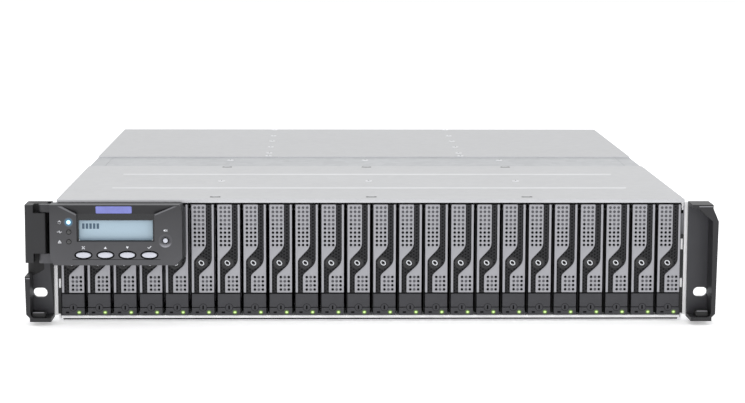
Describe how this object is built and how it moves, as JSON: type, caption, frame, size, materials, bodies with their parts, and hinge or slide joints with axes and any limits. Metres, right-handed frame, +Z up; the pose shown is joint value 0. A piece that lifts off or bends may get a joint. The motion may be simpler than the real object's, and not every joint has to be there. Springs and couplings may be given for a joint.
{
  "type": "rack storage array",
  "caption": "Two-unit rack storage array with upright pull-out drive trays, hinged tray handles, a swing-out display panel, slotted rack ears and rear canisters with fans.",
  "frame": {"origin": "on the underside, midway across, in the plane where the rack posts meet the ears", "axes": "+X to the right seen from the front, +Y to the rear, +Z up; the front faces -Y"},
  "size_m": [0.4821, 0.5457, 0.0871],
  "materials": {
    "galvanised_sheet": "galvanised",
    "circuit_board": "matte",
    "dark_plastic": "fine grain",
    "tray_metal": "satin",
    "panel_plastic": "fine grain",
    "display": "gloss",
    "key_plastic": "gloss",
    "handle_silver": "satin",
    "canister_steel": "galvanised",
    "fan_plastic": "matte"
  },
  "bodies": {
    "chassis": {"chassis_base": "galvanised_sheet", "front_top_cover": "galvanised_sheet", "rear_top_cover": "galvanised_sheet", "inner_frame": "galvanised_sheet", "midplane": "circuit_board", "left_ear": "dark_plastic", "right_ear": "dark_plastic", "trays_behind_panel": "tray_metal"},
    "panel": {"panel_housing": "panel_plastic", "panel_back_cover": "panel_plastic", "display_module": "display"},
    "key_1": {"panel_key_1": "key_plastic"},
    "key_2": {"panel_key_2": "key_plastic"},
    "key_3": {"panel_key_3": "key_plastic"},
    "key_4": {"panel_key_4": "key_plastic"},
    "mute": {"mute_button": "key_plastic"},
    "tray_06": {"drive_tray_06": "tray_metal"},
    "handle_06": {"tray_handle_06": "handle_silver"},
    "tray_07": {"drive_tray_07": "tray_metal"},
    "handle_07": {"tray_handle_07": "handle_silver"},
    "tray_08": {"drive_tray_08": "tray_metal"},
    "handle_08": {"tray_handle_08": "handle_silver"},
    "tray_09": {"drive_tray_09": "tray_metal"},
    "handle_09": {"tray_handle_09": "handle_silver"},
    "tray_10": {"drive_tray_10": "tray_metal"},
    "handle_10": {"tray_handle_10": "handle_silver"},
    "tray_11": {"drive_tray_11": "tray_metal"},
    "handle_11": {"tray_handle_11": "handle_silver"},
    "tray_12": {"drive_tray_12": "tray_metal"},
    "handle_12": {"tray_handle_12": "handle_silver"},
    "tray_13": {"drive_tray_13": "tray_metal"},
    "handle_13": {"tray_handle_13": "handle_silver"},
    "tray_14": {"drive_tray_14": "tray_metal"},
    "handle_14": {"tray_handle_14": "handle_silver"},
    "tray_15": {"drive_tray_15": "tray_metal"},
    "handle_15": {"tray_handle_15": "handle_silver"},
    "tray_16": {"drive_tray_16": "tray_metal"},
    "handle_16": {"tray_handle_16": "handle_silver"},
    "tray_17": {"drive_tray_17": "tray_metal"},
    "handle_17": {"tray_handle_17": "handle_silver"},
    "tray_18": {"drive_tray_18": "tray_metal"},
    "handle_18": {"tray_handle_18": "handle_silver"},
    "tray_19": {"drive_tray_19": "tray_metal"},
    "handle_19": {"tray_handle_19": "handle_silver"},
    "tray_20": {"drive_tray_20": "tray_metal"},
    "handle_20": {"tray_handle_20": "handle_silver"},
    "tray_21": {"drive_tray_21": "tray_metal"},
    "handle_21": {"tray_handle_21": "handle_silver"},
    "tray_22": {"drive_tray_22": "tray_metal"},
    "handle_22": {"tray_handle_22": "handle_silver"},
    "tray_23": {"drive_tray_23": "tray_metal"},
    "handle_23": {"tray_handle_23": "handle_silver"},
    "tray_24": {"drive_tray_24": "tray_metal"},
    "handle_24": {"tray_handle_24": "handle_silver"},
    "controller_a": {"controller_a": "canister_steel"},
    "controller_b": {"controller_b": "canister_steel"},
    "power_module_left": {"power_module_left": "canister_steel"},
    "power_module_right": {"power_module_right": "canister_steel"},
    "fan_left": {"fan_left": "fan_plastic"},
    "fan_right": {"fan_right": "fan_plastic"}
  },
  "joints": [
    {"name": "panel_hinge", "type": "hinge", "parent": "chassis", "child": "panel", "pos_m": [-0.2285, -0.0178, 0.064], "axis": [0, 0, -1], "range_deg": [0, 90]},
    {"name": "key_1_press", "type": "slide", "parent": "panel", "child": "key_1", "axis": [0, 1, 0], "range_m": [0, 0.001], "stiffness_N_per_m": 300},
    {"name": "key_2_press", "type": "slide", "parent": "panel", "child": "key_2", "axis": [0, 1, 0], "range_m": [0, 0.001], "stiffness_N_per_m": 300},
    {"name": "key_3_press", "type": "slide", "parent": "panel", "child": "key_3", "axis": [0, 1, 0], "range_m": [0, 0.001], "stiffness_N_per_m": 300},
    {"name": "key_4_press", "type": "slide", "parent": "panel", "child": "key_4", "axis": [0, 1, 0], "range_m": [0, 0.001], "stiffness_N_per_m": 300},
    {"name": "mute_press", "type": "slide", "parent": "panel", "child": "mute", "axis": [0, 1, 0], "range_m": [0, 0.001], "stiffness_N_per_m": 300},
    {"name": "tray_06_slide", "type": "slide", "parent": "chassis", "child": "tray_06", "axis": [0, -1, 0], "range_m": [0, 0.16]},
    {"name": "handle_06_hinge", "type": "hinge", "parent": "tray_06", "child": "handle_06", "pos_m": [-0.1183, -0.0054, 0.0811], "axis": [-1, 0, 0], "range_deg": [0, 45]},
    {"name": "tray_07_slide", "type": "slide", "parent": "chassis", "child": "tray_07", "axis": [0, -1, 0], "range_m": [0, 0.16]},
    {"name": "handle_07_hinge", "type": "hinge", "parent": "tray_07", "child": "handle_07", "pos_m": [-0.1001, -0.0054, 0.0811], "axis": [-1, 0, 0], "range_deg": [0, 45]},
    {"name": "tray_08_slide", "type": "slide", "parent": "chassis", "child": "tray_08", "axis": [0, -1, 0], "range_m": [0, 0.16]},
    {"name": "handle_08_hinge", "type": "hinge", "parent": "tray_08", "child": "handle_08", "pos_m": [-0.0819, -0.0054, 0.0811], "axis": [-1, 0, 0], "range_deg": [0, 45]},
    {"name": "tray_09_slide", "type": "slide", "parent": "chassis", "child": "tray_09", "axis": [0, -1, 0], "range_m": [0, 0.16]},
    {"name": "handle_09_hinge", "type": "hinge", "parent": "tray_09", "child": "handle_09", "pos_m": [-0.0637, -0.0054, 0.0811], "axis": [-1, 0, 0], "range_deg": [0, 45]},
    {"name": "tray_10_slide", "type": "slide", "parent": "chassis", "child": "tray_10", "axis": [0, -1, 0], "range_m": [0, 0.16]},
    {"name": "handle_10_hinge", "type": "hinge", "parent": "tray_10", "child": "handle_10", "pos_m": [-0.0455, -0.0054, 0.0811], "axis": [-1, 0, 0], "range_deg": [0, 45]},
    {"name": "tray_11_slide", "type": "slide", "parent": "chassis", "child": "tray_11", "axis": [0, -1, 0], "range_m": [0, 0.16]},
    {"name": "handle_11_hinge", "type": "hinge", "parent": "tray_11", "child": "handle_11", "pos_m": [-0.0273, -0.0054, 0.0811], "axis": [-1, 0, 0], "range_deg": [0, 45]},
    {"name": "tray_12_slide", "type": "slide", "parent": "chassis", "child": "tray_12", "axis": [0, -1, 0], "range_m": [0, 0.16]},
    {"name": "handle_12_hinge", "type": "hinge", "parent": "tray_12", "child": "handle_12", "pos_m": [-0.0091, -0.0054, 0.0811], "axis": [-1, 0, 0], "range_deg": [0, 45]},
    {"name": "tray_13_slide", "type": "slide", "parent": "chassis", "child": "tray_13", "axis": [0, -1, 0], "range_m": [0, 0.16]},
    {"name": "handle_13_hinge", "type": "hinge", "parent": "tray_13", "child": "handle_13", "pos_m": [0.0091, -0.0054, 0.0811], "axis": [-1, 0, 0], "range_deg": [0, 45]},
    {"name": "tray_14_slide", "type": "slide", "parent": "chassis", "child": "tray_14", "axis": [0, -1, 0], "range_m": [0, 0.16]},
    {"name": "handle_14_hinge", "type": "hinge", "parent": "tray_14", "child": "handle_14", "pos_m": [0.0273, -0.0054, 0.0811], "axis": [-1, 0, 0], "range_deg": [0, 45]},
    {"name": "tray_15_slide", "type": "slide", "parent": "chassis", "child": "tray_15", "axis": [0, -1, 0], "range_m": [0, 0.16]},
    {"name": "handle_15_hinge", "type": "hinge", "parent": "tray_15", "child": "handle_15", "pos_m": [0.0455, -0.0054, 0.0811], "axis": [-1, 0, 0], "range_deg": [0, 45]},
    {"name": "tray_16_slide", "type": "slide", "parent": "chassis", "child": "tray_16", "axis": [0, -1, 0], "range_m": [0, 0.16]},
    {"name": "handle_16_hinge", "type": "hinge", "parent": "tray_16", "child": "handle_16", "pos_m": [0.0637, -0.0054, 0.0811], "axis": [-1, 0, 0], "range_deg": [0, 45]},
    {"name": "tray_17_slide", "type": "slide", "parent": "chassis", "child": "tray_17", "axis": [0, -1, 0], "range_m": [0, 0.16]},
    {"name": "handle_17_hinge", "type": "hinge", "parent": "tray_17", "child": "handle_17", "pos_m": [0.0819, -0.0054, 0.0811], "axis": [-1, 0, 0], "range_deg": [0, 45]},
    {"name": "tray_18_slide", "type": "slide", "parent": "chassis", "child": "tray_18", "axis": [0, -1, 0], "range_m": [0, 0.16]},
    {"name": "handle_18_hinge", "type": "hinge", "parent": "tray_18", "child": "handle_18", "pos_m": [0.1001, -0.0054, 0.0811], "axis": [-1, 0, 0], "range_deg": [0, 45]},
    {"name": "tray_19_slide", "type": "slide", "parent": "chassis", "child": "tray_19", "axis": [0, -1, 0], "range_m": [0, 0.16]},
    {"name": "handle_19_hinge", "type": "hinge", "parent": "tray_19", "child": "handle_19", "pos_m": [0.1183, -0.0054, 0.0811], "axis": [-1, 0, 0], "range_deg": [0, 45]},
    {"name": "tray_20_slide", "type": "slide", "parent": "chassis", "child": "tray_20", "axis": [0, -1, 0], "range_m": [0, 0.16]},
    {"name": "handle_20_hinge", "type": "hinge", "parent": "tray_20", "child": "handle_20", "pos_m": [0.1365, -0.0054, 0.0811], "axis": [-1, 0, 0], "range_deg": [0, 45]},
    {"name": "tray_21_slide", "type": "slide", "parent": "chassis", "child": "tray_21", "axis": [0, -1, 0], "range_m": [0, 0.16]},
    {"name": "handle_21_hinge", "type": "hinge", "parent": "tray_21", "child": "handle_21", "pos_m": [0.1547, -0.0054, 0.0811], "axis": [-1, 0, 0], "range_deg": [0, 45]},
    {"name": "tray_22_slide", "type": "slide", "parent": "chassis", "child": "tray_22", "axis": [0, -1, 0], "range_m": [0, 0.16]},
    {"name": "handle_22_hinge", "type": "hinge", "parent": "tray_22", "child": "handle_22", "pos_m": [0.1729, -0.0054, 0.0811], "axis": [-1, 0, 0], "range_deg": [0, 45]},
    {"name": "tray_23_slide", "type": "slide", "parent": "chassis", "child": "tray_23", "axis": [0, -1, 0], "range_m": [0, 0.16]},
    {"name": "handle_23_hinge", "type": "hinge", "parent": "tray_23", "child": "handle_23", "pos_m": [0.1911, -0.0054, 0.0811], "axis": [-1, 0, 0], "range_deg": [0, 45]},
    {"name": "tray_24_slide", "type": "slide", "parent": "chassis", "child": "tray_24", "axis": [0, -1, 0], "range_m": [0, 0.16]},
    {"name": "handle_24_hinge", "type": "hinge", "parent": "tray_24", "child": "handle_24", "pos_m": [0.2093, -0.0054, 0.0811], "axis": [-1, 0, 0], "range_deg": [0, 45]},
    {"name": "controller_a_slide", "type": "slide", "parent": "chassis", "child": "controller_a", "axis": [0, 1, 0], "range_m": [0, 0.25]},
    {"name": "controller_b_slide", "type": "slide", "parent": "chassis", "child": "controller_b", "axis": [0, 1, 0], "range_m": [0, 0.25]},
    {"name": "power_module_left_slide", "type": "slide", "parent": "chassis", "child": "power_module_left", "axis": [0, 1, 0], "range_m": [0, 0.25]},
    {"name": "power_module_right_slide", "type": "slide", "parent": "chassis", "child": "power_module_right", "axis": [0, 1, 0], "range_m": [0, 0.25]},
    {"name": "fan_left_spin", "type": "hinge", "parent": "power_module_left", "child": "fan_left", "pos_m": [-0.1763, 0.4867, 0.0426], "axis": [0, 1, 0], "continuous": true},
    {"name": "fan_right_spin", "type": "hinge", "parent": "power_module_right", "child": "fan_right", "pos_m": [0.1226, 0.4867, 0.0426], "axis": [0, 1, 0], "continuous": true}
  ]
}
